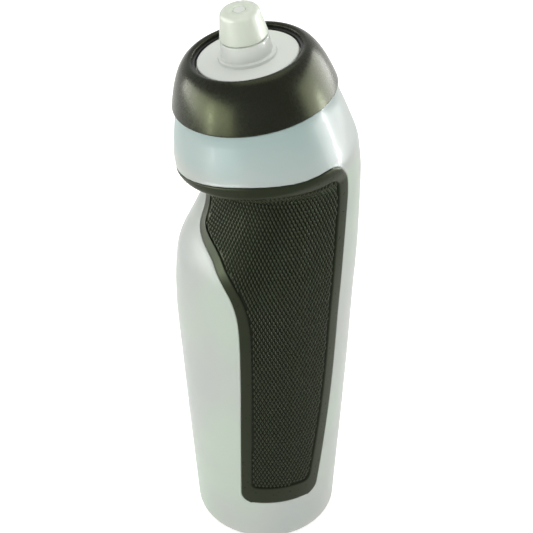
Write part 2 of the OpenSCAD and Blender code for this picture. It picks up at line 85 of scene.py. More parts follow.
def add_node(
    tree: Tree,
    kind: str,
    settings: Optional[dict[str, Any]] = None,
    inputs: Optional[dict[Any, Any]] = None,
) -> bpy.types.Node:
    """Add a node, set its properties, and set or link its inputs.

    Args:
        tree: Node tree that takes the node.
        kind: Blender's type name of the node.
        settings: Properties of the node by name.
        inputs: Values, or the sockets to link from, by the input's name or index.

    Returns:
        The new node.
    """
    node = tree.nodes.new(kind)
    for name, value in (settings or {}).items():
        setattr(node, name, value)
    for key, value in (inputs or {}).items():
        if isinstance(value, Socket):
            tree.links.new(value, node.inputs[key])
        else:
            node.inputs[key].default_value = value
    return node


def math_node(tree: Tree, operation: str, *values: Any) -> Socket:
    """Add a maths node on values or sockets, and give its result."""
    node = add_node(tree, "ShaderNodeMath", {"operation": operation}, dict(enumerate(values)))
    return node.outputs["Value"]


def new_material(name: str) -> tuple[Material, Tree]:
    """Make an empty node material.

    Args:
        name: Name of the material and its process.

    Returns:
        The material and its cleared node tree.
    """
    material = bpy.data.materials.new(name)
    material.use_nodes = True
    material.node_tree.nodes.clear()
    return material, material.node_tree


def make_object(name: str, points: Array, faces: Sequence[Sequence[int]], sharp: float = SHARP_DEG) -> Piece:
    """Make a smooth-shaded mesh object.

    Args:
        name: Name of the piece.
        points: Vertices in millimetres.
        faces: Vertex numbers of each face.
        sharp: Angle in degrees above which an edge stays sharp.

    Returns:
        The object, linked to the scene.
    """
    mesh = bpy.data.meshes.new(name)
    mesh.from_pydata((np.asarray(points) * MM).tolist(), [], [tuple(map(int, f)) for f in faces])
    work = bmesh.new()
    work.from_mesh(mesh)
    bmesh.ops.remove_doubles(work, verts=work.verts, dist=WELD_M)
    bmesh.ops.recalc_face_normals(work, faces=work.faces)
    work.to_mesh(mesh)
    work.free()
    mesh.shade_smooth()
    mesh.set_sharp_from_angle(angle=math.radians(sharp))
    piece = bpy.data.objects.new(name, mesh)
    bpy.context.scene.collection.objects.link(piece)
    return piece


def loop_faces(rows: int, columns: int) -> Faces:
    """Give the quads of a grid whose rows close on themselves.

    Args:
        rows: Number of rows.
        columns: Number of points in a row.

    Returns:
        Four vertex numbers for each quad.
    """
    faces: Faces = []
    for i in range(rows - 1):
        for j in range(columns):
            a, b = i * columns + j, i * columns + (j + 1) % columns
            faces.append((a, b, b + columns, a + columns))
    return faces


def point_tree(points: Array) -> KDTree:
    """Sort points so that the nearest one is found quickly.

    Args:
        points: Points in rows.

    Returns:
        The balanced tree.
    """
    tree = KDTree(len(points))
    for i, point in enumerate(points):
        tree.insert(point, i)
    tree.balance()
    return tree


def at(edge: Callable[[Array], Array], z: float) -> float:
    """Value of an edge or a curve at one height."""
    return float(edge(np.array([z]))[0])


def smooth_step(low: float, high: float, value: Array) -> Array:
    """Rise smoothly from 0 at low to 1 at high."""
    share = np.clip((np.asarray(value, float) - low) / (high - low), 0, 1)
    return share * share * (3 - 2 * share)


def filleted(corners: Sequence[Triple]) -> Outline:
    """Round the corners of a closed outline.

    Args:
        corners: Radius, height and rounding of each corner, in this order.

    Returns:
        Points of the rounded outline.
    """
    outline: Outline = []
    count = len(corners)
    for i, (r, z, rounding) in enumerate(corners):
        here = Vector((r, z))
        before = Vector(corners[i - 1][:2]) - here
        after = Vector(corners[(i + 1) % count][:2]) - here
        if rounding <= 0:
            outline.append((r, z))
            continue
        reach = min(rounding / math.tan(before.angle(after) / 2),
                    ROUNDING_SHARE * min(before.length, after.length))
        start, end = here + before.normalized() * reach, here + after.normalized() * reach
        for k in range(ROUNDING_STEPS + 1):
            t = k / ROUNDING_STEPS
            point = start * (1 - t) ** 2 + here * (2 * t * (1 - t)) + end * t * t
            outline.append((point.x, point.y))
    return outline


class Body(Enum):
    """CAD bodies that pieces ride on."""

    BOTTLE = "bottle"
    DECK = "deck"
    COLLAR = "collar"
    NOZZLE = "nozzle"


class PadSide(Enum):
    """Sides that carry a grip pad, with the sign that turns the -Y pad into it."""

    RIGHT = 1
    LEFT = -1


def fit_piece(piece: Piece, body: Body, node: str, material: Material) -> None:
    """Dress a piece, ride it on its body and let it stand for its CAD node.

    Args:
        piece: The finished piece.
        body: Body that it moves with.
        node: CAD node that it replaces.
        material: Its finish.
    """
    piece.data.materials.append(material)
    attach(piece, body.value)
    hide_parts(node)
    LOG.info("%s: %d faces on %s", piece.name, len(piece.data.polygons), body.value)


def dress_node(node: str, material: Material) -> None:
    """Give a CAD node that stays its finish.

    Args:
        node: Name of the node.
        material: Its finish.
    """
    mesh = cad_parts[node].data
    mesh.materials.clear()
    mesh.materials.append(material)
    LOG.info("%s: kept from the frame", node)


@dataclass(frozen=True)
class Pattern:
    """Noise over a surface: the size of its patches, and how much finer detail they hold."""

    size_mm: float
    detail: float
    rough: float

    def add(self, tree: Tree, place: Socket) -> Socket:
        """Add the noise at a place and give its value."""
        return add_node(tree, "ShaderNodeTexNoise", inputs={
            "Vector": place, "Scale": 1 / (self.size_mm * MM), "Detail": self.detail,
            "Roughness": self.rough}).outputs["Fac"]


@dataclass(frozen=True)
class Finish:
    """Moulded polymer: a tint that drifts through three colours, and a grained skin of uneven gloss."""

    name: str
    tints: tuple[str, str, str]
    roughness: float
    ior: float = 1.5
    specular: float = 0.5
    stops: Triple = (0.2, 0.6, 0.95)
    cloud: Pattern = Pattern(14.0, 3.0, 0.5)
    rub: Pattern = Pattern(1.4, 2.0, 0.5)
    rub_span: Span = (0.3, 0.8)
    rub_spread: Span = (-0.03, 0.06)
    # Fine grain of about 0.15 mm, drawn coarser so that it breaks up the gloss in the render.
    grain: Pattern = Pattern(0.5, 2.0, 0.6)
    grain_depth_mm: float = 0.02
    grain_strength: float = 0.6

    def tone_and_painted_shade(self, tree: Tree, place: Socket) -> Socket:
        """Give the value that picks the tint: slow clouds."""
        return self.cloud.add(tree, place)

    def skin(self, tree: Tree) -> dict[str, Any]:
        """Make the inputs that the finishes share.

        Args:
            tree: Node tree of the material.

        Returns:
            Tint, gloss and grain, by the name of the shader's input.
        """
        place = add_node(tree, "ShaderNodeTexCoord").outputs["Object"]
        tint = add_node(tree, "ShaderNodeValToRGB", inputs={"Fac": self.tone_and_painted_shade(tree, place)})
        ramp = tint.color_ramp.elements
        ramp.new(0.5)
        for stop, spot, colour in zip(ramp, self.stops, self.tints):
            stop.position, stop.color = spot, linear(colour)
        (low, high), (less, more) = self.rub_span, self.rub_spread
        gloss = add_node(tree, "ShaderNodeMapRange", inputs={
            "Value": self.rub.add(tree, place), "From Min": low, "From Max": high,
            "To Min": self.roughness + less, "To Max": self.roughness + more})
        bump = add_node(tree, "ShaderNodeBump", inputs={
            "Strength": self.grain_strength, "Distance": self.grain_depth_mm * MM,
            "Height": self.grain.add(tree, place)})
        return {"Base Color": tint.outputs["Color"], "Roughness": gloss.outputs["Result"], "IOR": self.ior,
                "Specular IOR Level": self.specular, "Normal": bump.outputs["Normal"]}

    def extra(self) -> dict[str, Any]:
        """Shader inputs that only some finishes have."""
        return {}

    def inside(self, tree: Tree) -> dict[str, Socket]:
        """What fills the piece, if its finish shows it."""
        return {}

    def material(self) -> Material:
        """Make the material.

        Returns:
            The finished material.
        """
        material, tree = new_material(self.name)
        shader = add_node(tree, "ShaderNodeBsdfPrincipled", inputs=self.skin(tree) | self.extra())
        add_node(tree, "ShaderNodeOutputMaterial", inputs={
            "Surface": shader.outputs["BSDF"], **self.inside(tree)})
        return material


@dataclass(frozen=True)
class TranslucentPlastic(Finish):
    """Natural polyethylene or polypropylene, blown or moulded: milky, and partly clear."""

    ior: float = 1.51
    specular: float = 0.06
    stops: Triple = (0.35, 0.6, 0.95)
    cloud: Pattern = Pattern(45.0, 2.0, 0.45)
    rub: Pattern = Pattern(6.0, 4.0, 0.6)
    rub_span: Span = (0.35, 0.75)
    rub_spread: Span = (-0.03, 0.05)
    # The mould's fine texture is about 0.1 mm; it is drawn coarser so that it shows at all.
    grain: Pattern = Pattern(0.9, 3.0, 0.55)
    grain_depth_mm: float = 0.004
    grain_strength: float = 0.5
    transmission: float = 0.2
    coat: float = 0.07
    coat_roughness: float = 0.1
    # Above these heights the tint is painted darker and teal, as painted shade.
    painted_shade_mm: Span = (0.0, 1.0)
    painted_shade_share: float = 0.0
    depth_tint: str = "#f2c4b4"
    depth_density: float = 90.0

    def tone_and_painted_shade(self, tree: Tree, place: Socket) -> Socket:
        """Pick the tint by slow clouds, and by a height above which it is painted a darker teal, as painted
        shade.

        Args:
            tree: Node tree of the material.
            place: Where on the piece.

        Returns:
            The value that picks the tint.
        """
        height = add_node(tree, "ShaderNodeSeparateXYZ", inputs={"Vector": place}).outputs["Z"]
        low, high = (z * MM for z in self.painted_shade_mm)
        # This rise with height is painted shade.
        rise = add_node(tree, "ShaderNodeMapRange", {"interpolation_type": "SMOOTHSTEP"}, {
            "Value": height, "From Min": low, "From Max": high, "To Min": 0.0, "To Max": self.painted_shade_share})
        return math_node(tree, "ADD", super().tone_and_painted_shade(tree, place), rise.outputs["Result"])

    def extra(self) -> dict[str, Any]:
        """Clearness and polish."""
        return {"Transmission Weight": self.transmission, "Coat Weight": self.coat,
                "Coat Roughness": self.coat_roughness}

    def inside(self, tree: Tree) -> dict[str, Socket]:
        """Milky resin throws cool light back: what comes through is dimmer and warmer."""
        return {"Volume": add_node(tree, "ShaderNodeVolumeAbsorption", inputs={
            "Color": linear(self.depth_tint), "Density": self.depth_density}).outputs["Volume"]}


@dataclass(frozen=True)
class OpaquePolymer(Finish):
    """Rubber, silicone or black plastic, moulded: opaque, with a dull satin skin."""

    gloss: str = "#ffffff"
    sheen: float = 0.0
    sheen_tint: str = "#ccd88c"
    sheen_roughness: float = 0.4
    relief: bool = False
    cloud_share: float = 0.2

    def tone_and_painted_shade(self, tree: Tree, place: Socket) -> Socket:
        """Pick the tint by slow clouds, or mostly by the relief where there is one: painted shade, near black
        in the hollows, and a painted highlight, paler on the tops.

        Args:
            tree: Node tree of the material.
            place: Where on the piece.

        Returns:
            The value that picks the tint.
        """
        cloud = super().tone_and_painted_shade(tree, place)
        if not self.relief:
            return cloud
        # The relief paints shade into the valleys and a highlight onto the tops.
        raised = add_node(tree, "ShaderNodeAttribute", {"attribute_name": "relief"}).outputs["Fac"]
        return math_node(tree, "MULTIPLY_ADD", cloud, self.cloud_share, raised)

    def extra(self) -> dict[str, Any]:
        """Tinted gloss and a soft sheen."""
        return {"Specular Tint": linear(self.gloss), "Sheen Weight": self.sheen,
                "Sheen Tint": linear(self.sheen_tint), "Sheen Roughness": self.sheen_roughness}


@dataclass(frozen=True)
class Finishes:
    """The finishes of the bottle. Low specular levels make up for the studio's very bright cards."""

    # Blown low-density polyethylene: milky, lets the white behind it through, satin from the mould. Towards
    # the shoulder it is painted a darker teal, as painted shade.
    shell: TranslucentPlastic = TranslucentPlastic(
        "ldpe_natural_blow_moulded", ("#d0dfd0", "#d0d5d0", "#b9cfcb"), 0.34, transmission=0.26,
        painted_shade_mm=(180.0, 192.0), painted_shade_share=0.38)
    # Injection-moulded deck: denser than the shell and polished, so it is paler and glossier.
    deck: TranslucentPlastic = TranslucentPlastic(
        "polypropylene_natural_moulded", ("#e6ece2", "#e3e7e1", "#dfe5df"), 0.22, transmission=0.1,
        depth_density=10.0)
    # Soft mouthpiece: whiter and duller than the deck, and its thin wall lets more light through.
    nozzle: TranslucentPlastic = TranslucentPlastic(
        "ldpe_white_moulded", ("#f0f6ea", "#ebf2e5", "#e6eee1"), 0.36, transmission=0.4, depth_density=10.0)
    # Overmoulded pads: the valleys are painted nearly black as painted shade, and the tops greyer as a
    # painted highlight.
    pad: OpaquePolymer = OpaquePolymer(
        "tpe_black_overmoulded", ("#020302", "#24281e", "#2c3127"), 0.3, specular=0.12, gloss="#e2f2c4",
        sheen=0.16, relief=True)
    # Collar sleeve: smoother and a little glossier than the pads.
    sleeve: OpaquePolymer = OpaquePolymer(
        "tpe_black_satin_moulded", ("#0f1010", "#171818", "#202220"), 0.27, specular=0.18, gloss="#e6f2b4",
        sheen=0.08)
    # Rigid ring under the sleeve: black polypropylene with a plain moulded skin.
    ring: OpaquePolymer = OpaquePolymer(
        "polypropylene_black_moulded", ("#1c1d1b", "#222320", "#2b2c29"), 0.38, grain=Pattern(1.2, 2.0, 0.6))
    # Silicone washer and O-ring: pale, dull and slightly clouded.
    silicone: OpaquePolymer = OpaquePolymer(
        "silicone_grey_moulded", ("#a3a6a2", "#acafab", "#b6b9b4"), 0.5, ior=1.41)


@dataclass(frozen=True)
class Curve:
    """Smooth curve through points, with no overshoot between them."""

    points: tuple[tuple[float, float], ...]

    def __call__(self, place: Array) -> Array:
        """Evaluate the curve.

        Args:
            place: Heights to evaluate at.

        Returns:
            Distances at these heights.
        """
        xs, ys = np.array(self.points).T
        step, secant = np.diff(xs), np.diff(ys) / np.diff(xs)
        slope = np.concatenate([secant[:1], np.zeros(len(xs) - 2), secant[-1:]])
        for i in range(1, len(xs) - 1):
            first, second = secant[i - 1], secant[i]
            if first * second > 0:
                late, early = 2 * step[i] + step[i - 1], step[i] + 2 * step[i - 1]
                slope[i] = (late + early) / (late / first + early / second)
        i = np.clip(np.searchsorted(xs, place, side="right") - 1, 0, len(xs) - 2)
        t = (place - xs[i]) / step[i]
        u = 1 - t
        return ((1 + 2 * t) * u * u * ys[i] + t * u * u * step[i] * slope[i]
                + t * t * (3 - 2 * t) * ys[i + 1] - t * t * u * step[i] * slope[i + 1])


@dataclass
class BottleForm:
    """Outer surface of the bottle: tilted circles strung between its front and its back."""

    base_r: float = 29.7
    base_edge_r: float = 4.5
    body_r: float = 36.0
    taper_top: float = 118.0
    taper_bow: float = 0.3
    bow_at: float = 0.7
    back_swell: float = 1.7
    swell_low: float = 0.8
    swell_high: float = 0.3
    back_turn: float = 8.0
    back_bow: float = 0.7
    wall: float = 2.0
    notch_start: float = 137.0
    notch_z: float = 173.0
    notch_ease: float = 1.2
    notch_depth: float = 16.0
    slope_share: float = 0.53
    root_h: float = 4.0
    root_depth: float = 1.0
    ledge_rise: float = 6.0
    lip_round_h: float = 2.4
    lip_round_depth: float = 4.0
    lip_back: float = 0.6
    band_rise: float = 2.0
    band_front: float = 34.3
    pad_bottom: float = 23.8
    pad_top: float = 181.5
    pad_corner_r: float = 5.0
    pad_top_corner_r: float = 6.0
    tongue_top: float = 165.2
    tongue_corner_r: float = 5.0
    panel_low_angle: float = 70.0
    panel_angle: float = 75.0
    tongue_angle: float = 14.0
    pad_back_low_angle: float = 133.0
    pad_back_angle: float = 143.5
    flare_z: float = 148.4
    flare_below: float = 16.0
    flare_above: float = 7.8
    flare_blend: float = 12.0
    edge_front_dip: float = 3.0
    edge_side_rise: float = 1.5
    edge_back_dip: float = 0.9
    edge_high_angle: float = 77.0
    edge_back_angle: float = 124.0
    head_tilt: float = 8.8
    neck_x: float = 3.0
    neck_z: float = 207.3
    shoulder_r: float = 31.0
    shoulder_draft: float = 0.3
    shoulder_h: float = 4.0
    edge_trace: int = 900
    level_trace: int = 500
    segments: int = 192
    front: Curve = field(init=False)
    back: Curve = field(init=False)
    wave: Curve = field(init=False)

    def __post_init__(self) -> None:
        """Work out the side view from the sizes."""
        tilt = math.radians(self.head_tilt)
        self.axis = np.array([-math.sin(tilt), 0.0, math.cos(tilt)])
        self.out = np.array([math.cos(tilt), 0.0, math.sin(tilt)])
        self.neck_foot = np.array([-self.neck_x, 0.0, self.neck_z])
        self.band_r = self.shoulder_r + self.shoulder_draft
        rim = self.neck_foot - self.shoulder_h * self.axis
        seat_front, seat_back = rim - self.band_r * self.out, rim + self.band_r * self.out
        self.seat_z, self.back_z = float(seat_front[2]), float(seat_back[2])
        self.base_joint = self.base_edge_r + 2 * self.wall
        b, lip_z, notch_r = self.body_r, self.notch_z + self.ledge_rise, self.body_r - self.notch_depth
        turn_z, lip_x = lip_z + self.back_turn, self.band_front - self.lip_back
        bow_r = self.base_r + self.bow_at * (b - self.base_r) + self.taper_bow
        low = ((0.0, self.base_r), (self.bow_at * self.taper_top, bow_r), (self.taper_top, b))
        self.front = Curve(low + (
            (self.notch_start, b - self.notch_ease),
            ((self.notch_start + self.notch_z) / 2, b - self.slope_share * self.notch_depth),
            (self.notch_z - self.root_h, notch_r + self.root_depth),
            (self.notch_z, notch_r),
            (lip_z - self.lip_round_h, lip_x - self.lip_round_depth),
            (lip_z, lip_x),
            (self.pad_top + self.band_rise, self.band_front),
            (self.seat_z, -float(seat_front[0]))))
        self.back = Curve(low + (
            ((self.taper_top + self.notch_z) / 2, b + self.swell_low * self.back_swell),
            (self.notch_z, b + self.back_swell),
            (turn_z, b + self.swell_high * self.back_swell),
            ((turn_z + self.back_z) / 2, (b + float(seat_back[0])) / 2 + self.back_bow),
            (self.back_z, float(seat_back[0]))))
        self.wave = Curve((
            (0.0, -self.edge_front_dip), (self.edge_high_angle, self.edge_side_rise),
            (self.edge_back_angle, -self.edge_back_dip), (180.0, -self.edge_back_dip)))

    def rings(self, z: Array) -> tuple[Array, Array]:
        """Find the circles that start at given heights of the front.

        Args:
            z: Heights at the front.

        Returns:
            Centres and half diameters towards the front, each as x and z in the side view.
        """
        f = self.front(z)
        lean = smooth_step(self.taper_top, self.pad_top, z)
        k = np.tan(np.radians(self.head_tilt * lean))
        far = self.back(np.minimum(z + 2 * f * k, self.back_z))
        b = self.back(np.minimum(z + (f + far) * k, self.back_z))
        centre = np.stack([(b - f) / 2, z + (f + b) * k / 2], -1)
        return centre, np.stack([-(f + b) / 2, -(f + b) * k / 2], -1)

    def radius(self, z: Array) -> Array:
        """Radius of the ring at a height."""
        return np.linalg.norm(self.rings(z)[1], axis=-1)

    def waved(self, z: Array, angle: Array) -> Array:
        """Heights of rows, which rise and dip with the pads' upper edge where they are near it."""
        share = smooth_step(self.notch_z - self.root_h, self.pad_top - self.root_h, z) * (
            1 - smooth_step(self.pad_top, self.seat_z, z))
        return z + share * self.wave(np.abs((np.asarray(angle, float) + 180) % 360 - 180))

    def points(self, z: Array, angle: Array) -> Array:
        """Find points of the surface.

        Args:
            z: Heights of the rows at the front.
            angle: Angles in degrees from the front.

        Returns:
            One point for each pair of height and angle.
        """
        centre, half = self.rings(self.waved(z, angle))
        c, s = np.cos(np.radians(angle)), np.sin(np.radians(angle))
        return np.stack([centre[..., 0] + half[..., 0] * c, -np.linalg.norm(half, axis=-1) * s,
                         centre[..., 1] + half[..., 1] * c], -1)

    def frames(self, z: Array, angle: Array) -> tuple[Array, Array, Array]:
        """Find where the surface is and how it lies.

        Args:
            z: Heights at the front.
            angle: Angles in degrees from the front.

        Returns:
            Points, unit vectors round the body, and unit normals.
        """
        step = 0.05
        around = self.points(z, angle + 1) - self.points(z, angle - 1)
        around /= np.linalg.norm(around, axis=-1, keepdims=True)
        up = self.points(np.minimum(z + step, self.seat_z), angle) - self.points(z - step, angle)
        normal = np.cross(around, up)
        return self.points(z, angle), around, normal / np.linalg.norm(normal, axis=-1, keepdims=True)

    def skin(self, z: Array, angle: Array, off: Array) -> Array:
        """Points moved out of the surface by off."""
        place, _, normal = self.frames(z, angle)
        return place + np.asarray(off)[..., None] * normal

    def neck_row(self, radius: float, height: float, angle: Array) -> Array:
        """Circle about the neck at a height above the shoulder's flat."""
        a = np.radians(angle)[:, None]
        return (self.neck_foot + height * self.axis
                - radius * (np.cos(a) * self.out + np.sin(a) * ACROSS))

    def turned(self, name: str, outlines: Sequence[Outline]) -> Piece:
        """Turn closed outlines about the neck's axis.

        Args:
            name: Name of the piece.
            outlines: Radii and heights of each closed outline.

        Returns:
            The turned piece.
        """
        angle = np.linspace(0, 360, self.segments, endpoint=False)
        points, faces, first = [], [], 0
        for outline in outlines:
            rows = [self.neck_row(r, h, angle) for r, h in [*outline, outline[0]]]
            points += rows
            faces += [tuple(first + v for v in quad) for quad in loop_faces(len(rows), self.segments)]
            first += len(rows) * self.segments
        return make_object(name, np.concatenate(points), faces)

    def degrees(self, length: Array, z: Array) -> Array:
        """Angle that a length round the ring at height z takes up."""
        return np.degrees(length / self.radius(z))

    def degrees_per_mm(self, z: float) -> float:
        """Angle that one millimetre round the ring at height z takes up."""
        return float(self.degrees(np.array([1.0]), np.array([z]))[0])

    @staticmethod
    def corner_inset(depth: Array, radius: float) -> Array:
        """How far a rounded corner draws an edge in at a depth from its end."""
        rest = radius - np.clip(depth, 0, radius)
        return radius - np.sqrt(radius * radius - rest * rest)

    def front_edge(self, z: Array) -> Array:
        """Find the pads' front edge.

        Args:
            z: Heights at the front.

        Returns:
            Angles in degrees from the front.
        """
        share = (z - self.pad_bottom) / (self.taper_top - self.pad_bottom)
        panel = self.panel_low_angle + (self.panel_angle - self.panel_low_angle) * share
        off = z - self.flare_z
        above = smooth_step(-self.flare_blend / 2, self.flare_blend / 2, off)
        sweep = 0.5 + 0.5 * np.tanh(off / (self.flare_below + (self.flare_above - self.flare_below) * above))
        low = self.corner_inset(z - self.pad_bottom, self.pad_corner_r)
        tip = self.corner_inset(self.tongue_top - z, self.tongue_corner_r)
        return panel + (self.tongue_angle - panel) * sweep + self.degrees(low - tip, z)

    def back_edge(self, z: Array) -> Array:
        """Find the pads' back edge.

        Args:
            z: Heights at the front.

        Returns:
            Angles in degrees from the front.
        """
        rest = np.clip(1 - (z - self.pad_bottom) / (self.taper_top - self.pad_bottom), 0, None)
        line = self.pad_back_angle + (self.pad_back_low_angle - self.pad_back_angle) * rest * rest
        low = self.corner_inset(z - self.pad_bottom, self.pad_corner_r)
        high = self.corner_inset(self.pad_top - z, self.pad_top_corner_r)
        return line - self.degrees(low + high, z)

    def pad_outline(self) -> Array:
        """Trace the edge of the -Y pad.

        Returns:
            Points along the outline, close together.
        """
        heights = np.linspace(self.pad_bottom, self.tongue_top, self.edge_trace)
        whole = np.linspace(self.pad_bottom, self.pad_top, self.edge_trace)

        def level(z: float, start: float, end: float) -> Array:
            """Part of the ring at height z."""
            angle = np.linspace(start, end, self.level_trace)
            return self.points(np.full_like(angle, z), angle)

        low, tip, top = self.pad_bottom, self.tongue_top, self.pad_top
        return np.concatenate([
            self.points(heights, self.front_edge(heights)),
            self.points(whole, self.back_edge(whole)),
            level(low, at(self.front_edge, low), at(self.back_edge, low)),
            level(tip, 0.0, at(self.front_edge, tip)),
            level(top, 0.0, at(self.back_edge, top))])

    def edge_distance(self, places: Array) -> Array:
        """Distances of a grid of points from the pads' outline."""
        tree = point_tree(self.pad_outline())
        return np.array([tree.find(p)[2] for p in places.reshape(-1, 3)]).reshape(places.shape[:-1])


@dataclass
class BottleShell:
    """Blow-moulded shell: wall with its two pad recesses, base, shoulder and threaded neck."""

    form: BottleForm
    pad_depth: float = 0.9
    bead_h: float = 0.14
    bead_at: float = 0.45
    bead_w: float = 0.38
    edge_round: float = 0.22
    edge_fade: float = 0.1
    slit: float = 0.05
    middle_r: float = 0.5
    foot_r: float = 21.0
    push_up: float = 3.0
    neck_r: float = 23.6
    neck_wall: float = 2.0
    neck_h: float = 10.2
    rim_round: float = 0.7
    thread_pitch: float = 5.0
    thread_h: float = 1.1
    thread_root: float = 1.9
    thread_crest: float = 1.0
    thread_turns: float = 1.1
    thread_start: float = 3.2
    near_edge: tuple[float, ...] = (1.6, 1.1, 0.75, 0.5, 0.3, 0.12, 0.0)

    def heights(self) -> Array:
        """Lay out the rows of the outer wall.

        Returns:
            Heights, closest together along the pads' edges.
        """
        f, near, slit = self.form, np.array(self.near_edge), self.slit
        return np.concatenate([
            np.linspace(f.base_joint, f.pad_bottom - 2.4, 7), f.pad_bottom - near,
            f.pad_bottom + np.array([slit, 0.3, 0.8, 1.5, 2.4, 3.5, 5.0]),
            np.arange(f.pad_bottom + 8, f.taper_top, 4.0), np.arange(f.taper_top, f.tongue_top - 2.6, 1.0),
            f.tongue_top - np.array([2.4, 2.0]), f.tongue_top - near, [f.tongue_top + slit],
            np.linspace(f.tongue_top + 0.4, f.pad_top - 0.4, 32), [f.pad_top - slit],
            f.pad_top + near[::-1], np.linspace(f.pad_top + 2.4, f.seat_z, 14)])

    def half_angles(self, z: float) -> Array:
        """Columns of one half of a row, from the front to the back.

        Args:
            z: Height of the row at the front.

        Returns:
            Angles in degrees, closest together along the pads' edges.
        """
        f, b, k = at(self.form.front_edge, z), at(self.form.back_edge, z), self.form.degrees_per_mm(z)
        near, slit = np.array(self.near_edge), self.slit
        return np.concatenate([
            np.linspace(0, f - 2.2 * k, 11), f - k * near, [f + slit * k],
            np.linspace(f + 0.6 * k, b - 0.6 * k, 16), [b - slit * k],
            b + k * near[::-1], np.linspace(b + 2.2 * k, 180, 12)])

    @staticmethod
    def mirrored(half: Array) -> Array:
        """Close half rows into whole rows by mirroring them in y."""
        return np.concatenate([half, (half * np.array([1.0, -1.0, 1.0]))[:, -2:0:-1]], axis=1)

    def wall_rows(self) -> Array:
        """Lay out the outer wall with its recesses.

        Returns:
            Points as rows by columns by 3.
        """
        f, hair = self.form, 0.01
        heights = self.heights()
        angle = np.array([self.half_angles(z) for z in heights])
        z = np.repeat(heights[:, None], angle.shape[1], axis=1)
        front = np.where(z > f.tongue_top + hair, -1.0, f.front_edge(z))
        inside = (angle > front + hair) & (angle < f.back_edge(z) - hair)
        inside &= (z > f.pad_bottom + hair) & (z < f.pad_top - hair)
        gap = f.edge_distance(f.points(z, angle))
        bead = self.bead_h * np.exp(-((gap - self.bead_at) / self.bead_w) ** 2)
        lip = bead - self.edge_round * np.exp(-gap / self.edge_fade)
        return self.mirrored(f.skin(z, angle, np.where(inside, -self.pad_depth, lip)))

    @staticmethod
    def turned_rows(outline: Outline, angle: Array) -> list[Array]:
        """Turn an outline about the body's axis, into a row for each of its points."""
        a = np.radians(angle)
        return [np.stack([-r * np.cos(a), -r * np.sin(a), np.full_like(a, h)], -1) for r, h in outline]

    def base_outline(self) -> Outline:
        """Draw the underside.

        Returns:
            Radii and heights from its middle to the foot of the wall.
        """
        f = self.form
        edge = at(f.front, f.base_edge_r)
        under = filleted([(self.middle_r, self.push_up, 0), (self.foot_r - self.push_up, self.push_up, 3.0),
                          (self.foot_r, 0.0, 1.6), (edge - f.base_edge_r, 0.0, 0)])
        turn = [(edge - f.base_edge_r * (1 - math.sin(a)), f.base_edge_r * (1 - math.cos(a)))
                for a in np.linspace(0.05, math.pi / 2, 12)]
        rise = np.linspace(f.base_edge_r + 0.8, f.base_joint - 0.8, 4)
        return under + turn + [(float(r), float(h)) for r, h in zip(f.front(rise), rise)]

    def neck_outline(self) -> Outline:
        """Draw the shoulder's rim and the neck.

        Returns:
            Radii and heights, over the neck's lip and down its bore.
        """
        f, r = self.form, self.rim_round
        bore, rim_in = self.neck_r - self.neck_wall, f.band_r - f.wall
        return filleted([
            (f.shoulder_r, -r, 0), (f.shoulder_r, 0.0, r), (self.neck_r, 0.0, 0.5),
            (self.neck_r, self.neck_h, r), (bore, self.neck_h, 0.4), (bore, -self.neck_wall, 1.0),
            (rim_in - 0.5, -self.neck_wall - 0.4, 1.5), (rim_in, -f.shoulder_h + 0.3, 0)])

    def floor_outline(self) -> Outline:
        """Draw the inside of the base.

        Returns:
            Radii and heights from the wall to the middle.
        """
        f, top = self.form, self.push_up + self.form.wall
        inner = at(f.front, f.base_joint) - f.wall
        return filleted([(inner, f.base_joint - 0.4, 0), (inner - f.base_edge_r / 2, f.wall + 1.1, 3.0),
                         (self.foot_r + 1.0, f.wall, 1.5), (self.foot_r - self.push_up, top, 3.0),
                         (self.middle_r, top, 0)])

    def thread(self, first: int) -> tuple[Array, Faces]:
        """Make the helical rib of the neck's thread.

        Args:
            first: Number that its first vertex takes.

        Returns:
            Points and faces of a closed rib.
        """
        sink, steps = 0.3, 150
        root, crest, tip = self.thread_root / 2, self.thread_crest / 2, self.neck_r + self.thread_h
        section = [(self.neck_r - sink, -root), (self.neck_r, -root), (tip, -crest),
                   (tip, crest), (self.neck_r, root), (self.neck_r - sink, root)]
        rows = []
        for turn in np.linspace(0, 360 * self.thread_turns, steps):
            level, angle = self.thread_start + self.thread_pitch * turn / 360, np.array([180 + turn])
            rows += [self.form.neck_row(r, level + h, angle) for r, h in section]
        n = len(section)
        last = first + (steps - 1) * n
        faces = [tuple(first + v for v in quad) for quad in loop_faces(steps, n)]
        faces += [tuple(range(first, first + n)), tuple(reversed(range(last, last + n)))]
        return np.concatenate(rows), faces

    def build(self, finish: TranslucentPlastic) -> None:
        """Build and dress the shell.

        Args:
            finish: Its plastic.
        """
        f, wall = self.form, self.wall_rows()
        halves = self.half_angles(f.base_joint), self.half_angles(f.seat_z)
        low, top = (np.concatenate([a, 360 - a[-2:0:-1]]) for a in halves)
        inner_z = np.concatenate([
            np.linspace(f.seat_z, f.pad_top, 14), np.linspace(f.pad_top - 0.6, f.tongue_top - 6, 30),
            np.linspace(f.tongue_top - 8, f.base_joint, 40)])
        deep, spread = np.meshgrid(inner_z, top, indexing="ij")
        rows = np.concatenate([
            self.turned_rows(self.base_outline(), low), wall,
            [f.neck_row(r, h, top) for r, h in self.neck_outline()],
            f.skin(deep, spread, np.full_like(deep, -f.wall)),
            self.turned_rows(self.floor_outline(), top)])
        count, columns = rows.shape[:2]
        points = rows.reshape(-1, 3)
        faces = loop_faces(count, columns)
        faces += [tuple(range(columns)), tuple(range((count - 1) * columns, count * columns))]
        rib, rib_faces = self.thread(len(points))
        piece = make_object("shell_body", np.concatenate([points, rib]), faces + rib_faces)
        fit_piece(piece, Body.BOTTLE, "bottle_shell", finish.material())


